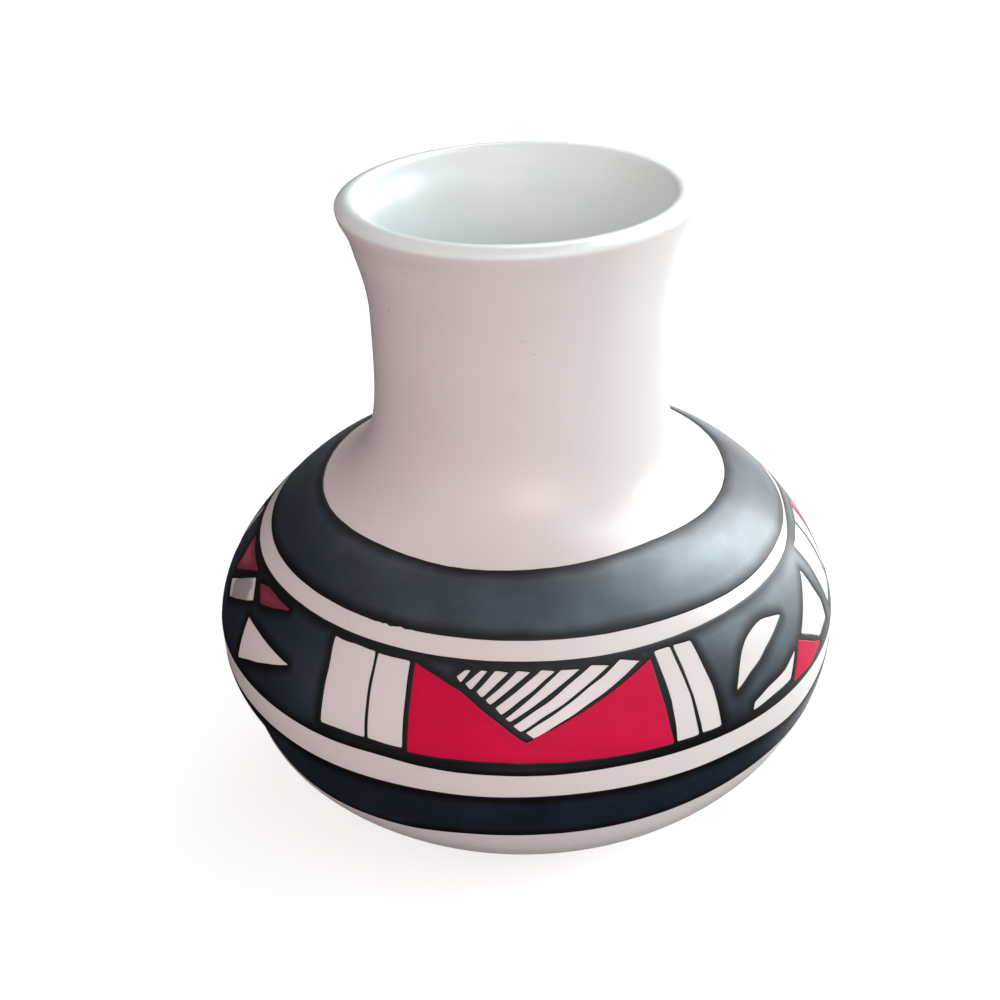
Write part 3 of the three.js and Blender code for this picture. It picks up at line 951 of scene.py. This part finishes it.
def inner_glaze(material):
    """White glaze over the inside of the lip, the neck, the belly and the floor."""
    face = -WALL_THICKNESS
    back = face + GLAZE_THICKNESS
    low = along_at(FLOOR_THICKNESS)
    top = FLOOR_THICKNESS + GLAZE_THICKNESS
    up, across = GLAZE_CORNER
    back_up, back_across = GLAZE_CORNER_BACK
    over = [row for row in wall_rows(wall_end, low, face) if row[1] > top + up]
    under = [row for row in wall_rows(wall_end, low, back) if row[1] > top + back_up]
    corner = (over[-1][0] - across, top)
    rows = [(0.0, top), (corner[0] * 0.5, top)]
    rows += rounded(corner, rows[-1], over[-1], GLAZE_FILLET, GLAZE_FILLET_STEPS)[:-1]
    rows += over[::-1][:-1]
    rows += [section(wall_end, face)] + lip_rows(180, INNER_GLAZE_END, 0)
    rows += lip_rows(INNER_GLAZE_END, 180, -GLAZE_THICKNESS) + under[1:]
    rows += [(corner[0] - back_across, FLOOR_THICKNESS), (0.0, FLOOR_THICKNESS)]
    mesh_piece("inner_glaze_skin", *turned(rows[::-1]), material, "white_glaze", "inner_glaze")


def build_jar():
    """Every layer of the jar: the clay, the glazes on it, and the paints on the cream glaze."""
    black = paint("black_paint", BLACK_PAINT)
    red = paint("red_paint", RED_PAINT)
    dark_red = paint("dark_red_paint", DARK_RED_PAINT)
    cream = glaze("cream_glaze", CREAM_GLAZE)
    white = glaze("white_glaze", WHITE_GLAZE)
    clay_body(bare_clay())
    outer_glaze(cream)
    inner_glaze(white)
    band_coat("shoulder_band_coat", SHOULDER_BAND, [], black, "shoulder_band")
    band_coat("base_band_coat", BASE_BAND, [], black, "base_band")
    band_coat("frieze_coat", FRIEZE, frieze_openings(), black, "frieze_ground")
    for side, turn in PANEL_ANGLES.items():
        red_coat(f"panel_red_{side}", PANEL_SHAPES, PANEL_RED, turn, red)
    for side, turn in FEATHER_ANGLES.items():
        red_coat(f"feather_red_{side}", FEATHER_SHAPES, FEATHER_RED, turn, red)
    red_coat("arrow_red_small", ARROW_SHAPES, ARROW_SMALL_RED, ARROW_ANGLE, dark_red)
    red_coat("arrow_red_large", ARROW_SHAPES, ARROW_LARGE_RED, ARROW_ANGLE, dark_red)


def add_camera():
    """The camera of the photograph."""
    pitch, yaw, roll = CAMERA_PITCH, CAMERA_YAW, CAMERA_ROLL
    ahead = Vector((math.sin(yaw) * math.cos(pitch), math.cos(yaw) * math.cos(pitch), -math.sin(pitch)))
    level = Vector((math.cos(yaw), -math.sin(yaw), 0))
    upright = level.cross(ahead)
    right = math.cos(roll) * level + math.sin(roll) * upright
    up = -math.sin(roll) * level + math.cos(roll) * upright
    data = bpy.data.cameras.new("camera")
    data.lens = CAMERA_LENS
    data.sensor_width = CAMERA_SENSOR
    data.clip_start = CAMERA_NEAR
    camera = bpy.data.objects.new("camera", data)
    turn = Matrix((right, up, -ahead)).transposed().to_4x4()
    camera.matrix_world = Matrix.Translation((0, -CAMERA_BACK, CAMERA_HEIGHT)) @ turn
    bpy.context.scene.collection.objects.link(camera)
    bpy.context.scene.camera = camera


def from_jar(angle, rise, distance=LAMP_DISTANCE):
    """A place at an angle round the jar, an angle above level and a distance from the jar's middle."""
    level = distance * math.cos(math.radians(rise))
    height = distance * math.sin(math.radians(rise)) + JAR_MIDDLE[2]
    turn = math.radians(angle)
    return (level * math.sin(turn), -level * math.cos(turn), height)


def hide(thing, *rays):
    """Hides a lamp or a sheet from some kinds of ray."""
    for ray in rays:
        setattr(thing, f"visible_{ray}", False)


# Lamps: place, what it aims at, width and height, watts, tint, and the kinds of ray that don't see it
Lamp = namedtuple("Lamp", "name place aim size watts tint unseen_by")
SOFT = (0.6, 0.6)
LOW_PLACE = (170 * MM, -90 * MM, 5 * MM)
LOW_AIM = (40 * MM, -30 * MM, 40 * MM)
LAMPS = [
    Lamp("window", from_jar(150, 12), JAR_MIDDLE, SOFT, 6.4, (0.9, 1, 1), []),
    Lamp("side", from_jar(105, 20), JAR_MIDDLE, SOFT, 3.7, (0.72, 0.97, 1), []),
    Lamp("low_side", LOW_PLACE, LOW_AIM, (0.14, 0.14), 0.14, (0.72, 1, 1), ["camera", "glossy"]),
    Lamp("front", from_jar(10, 20), JAR_MIDDLE, SOFT, 3.4, (1, 0.88, 0.88), []),
    Lamp("high_side", from_jar(50, 50), JAR_MIDDLE, SOFT, 1.7, (0.68, 1, 1), []),
    Lamp("left", from_jar(-75, 20), JAR_MIDDLE, SOFT, 1.0, (1, 0.75, 0.8), []),
    Lamp("window_sheen", from_jar(148, 22), JAR_MIDDLE, (1.05, 1.15), 80, (1, 1, 1), ["diffuse"]),
    Lamp("side_sheen", from_jar(106, 41), JAR_MIDDLE, (0.85, 0.95), 16, (0.9, 0.97, 1), ["diffuse"]),
]


def add_lamp(lamp):
    """A soft rectangular lamp."""
    data = bpy.data.lights.new(lamp.name, "AREA")
    data.shape = "RECTANGLE"
    data.size, data.size_y = lamp.size
    data.energy = lamp.watts
    data.color = lamp.tint
    thing = bpy.data.objects.new(lamp.name, data)
    thing.location = lamp.place
    thing.rotation_euler = (Vector(lamp.aim) - Vector(lamp.place)).to_track_quat("-Z", "Y").to_euler()
    hide(thing, *lamp.unseen_by)
    bpy.context.scene.collection.objects.link(thing)


def seen_directly(nodes, links):
    """A factor that is 1 for the camera, for gloss and for glass, and 0 for plain light."""
    path = nodes.new("ShaderNodeLightPath")
    seen = path.outputs["Is Camera Ray"]
    for name in ("Is Glossy Ray", "Is Transmission Ray"):
        either = nodes.new("ShaderNodeMath")
        either.operation = "MAXIMUM"
        links.new(seen, either.inputs[0])
        links.new(path.outputs[name], either.inputs[1])
        seen = either.outputs[0]
    return seen


def add_world():
    """Soft light from all round, behind which the camera and the gloss see plain white."""
    world = bpy.data.worlds.new("studio")
    bpy.context.scene.world = world
    world.use_nodes = True
    nodes, links = world.node_tree.nodes, world.node_tree.links
    light, white = nodes["Background"], nodes.new("ShaderNodeBackground")
    for background, strength in ((light, WORLD_LEVEL), (white, 1)):
        background.inputs["Color"].default_value = WHITE
        background.inputs["Strength"].default_value = strength
    mix = nodes.new("ShaderNodeMixShader")
    links.new(seen_directly(nodes, links), mix.inputs[0])
    links.new(light.outputs[0], mix.inputs[1])
    links.new(white.outputs[0], mix.inputs[2])
    links.new(mix.outputs[0], nodes["World Output"].inputs["Surface"])


def matt(name, colour):
    """A matt material of the studio that can glow white."""
    shader = Shader(name, Roughness=1.0, Specular_IOR_Level=0.0, Base_Color=colour)
    shader.surface.inputs["Emission Color"].default_value = WHITE
    return shader


def stage_sheet(name, corners, material):
    """A flat sheet of the studio round the jar."""
    mesh = bpy.data.meshes.new(name)
    mesh.from_pydata(corners, [], [tuple(range(len(corners)))])
    mesh.materials.append(material)
    sheet = bpy.data.objects.new(name, mesh)
    bpy.context.scene.collection.objects.link(sheet)
    return sheet


def add_floor():
    """A plain floor that shows white to the camera, keeps the jar's shadow and fades out far away."""
    shader = matt("pale_floor", FLOOR_COLOUR)
    start, end = FLOOR_GLOW_RISE
    glow = shader.ramp(shader.distance_to((0, 0, 0)), (start, FLOOR_GLOW), (end, 1.0))
    seen = seen_directly(shader.tree.nodes, shader.tree.links)
    shader.feed(shader.maths("MULTIPLY", glow, seen), "Emission Strength")
    half = FLOOR_HALF
    corners = [(-half, -half, 0), (half, -half, 0), (half, half, 0), (-half, half, 0)]
    stage_sheet("floor", corners, shader.material)


def darkness(name, first, last, height, *stops):
    """A material that is dark in its middle and brightens to its ends and up to a height."""
    shader = matt(name, SHEET_COLOUR)
    x, y, z = shader.axes()
    middle = math.radians((first + last) / 2)
    ahead = shader.maths("MULTIPLY", x, math.sin(middle))
    ahead = shader.maths("ADD", ahead, shader.maths("MULTIPLY", y, -math.cos(middle)))
    cosine = shader.maths("DIVIDE", ahead, shader.maths("SQRT", shader.level_square(x, y)))
    off = shader.maths("DIVIDE", shader.maths("ARCCOSINE", cosine), math.radians((last - first) / 2))
    rim = shader.maths("MAXIMUM", shader.maths("DIVIDE", z, height), off)
    shader.feed(shader.ramp(rim, *stops), "Emission Strength")
    return shader.material


def dark_sheet(name, corners, material):
    """A sheet that only the jar's gloss sees."""
    hide(stage_sheet(name, corners, material), "camera", "diffuse", "shadow", "transmission")


def add_dark_table(first, last):
    """A dark table top, from one angle round the jar to another."""
    material = darkness("dark_table", first, last, 1.0, (0.85, 0.0), (1.0, 1.0))
    arc = [from_jar(angle, 0, SHEET_DISTANCE)[:2] for angle in range(first, last + 1, SHEET_STEP)]
    corners = [(x, y, DARK_TABLE_LIFT) for x, y in [(0.0, 0.0)] + arc]
    dark_sheet("dark_table", corners, material)


def add_dark_card(name, first, last, height):
    """A card in a bend beside the jar, dark at its foot and white at its rims."""
    material = darkness(name, first, last, height, (0.45, 0.02), (0.75, 0.12), (0.97, 1.0))
    for number, start in enumerate(range(first, last, SHEET_STEP), 1):
        left, right = (from_jar(angle, 0, SHEET_DISTANCE)[:2] for angle in (start, start + SHEET_STEP))
        corners = [(*left, 0.0), (*right, 0.0), (*right, height), (*left, height)]
        dark_sheet(f"{name}_{number}", corners, material)


bpy.context.scene.view_settings.view_transform = "Standard"
add_camera()
add_floor()
add_world()
for lamp in LAMPS:
    add_lamp(lamp)
add_dark_table(*DARK_TABLE)
for name, card in DARK_CARDS.items():
    add_dark_card(name, *card)
build_jar()
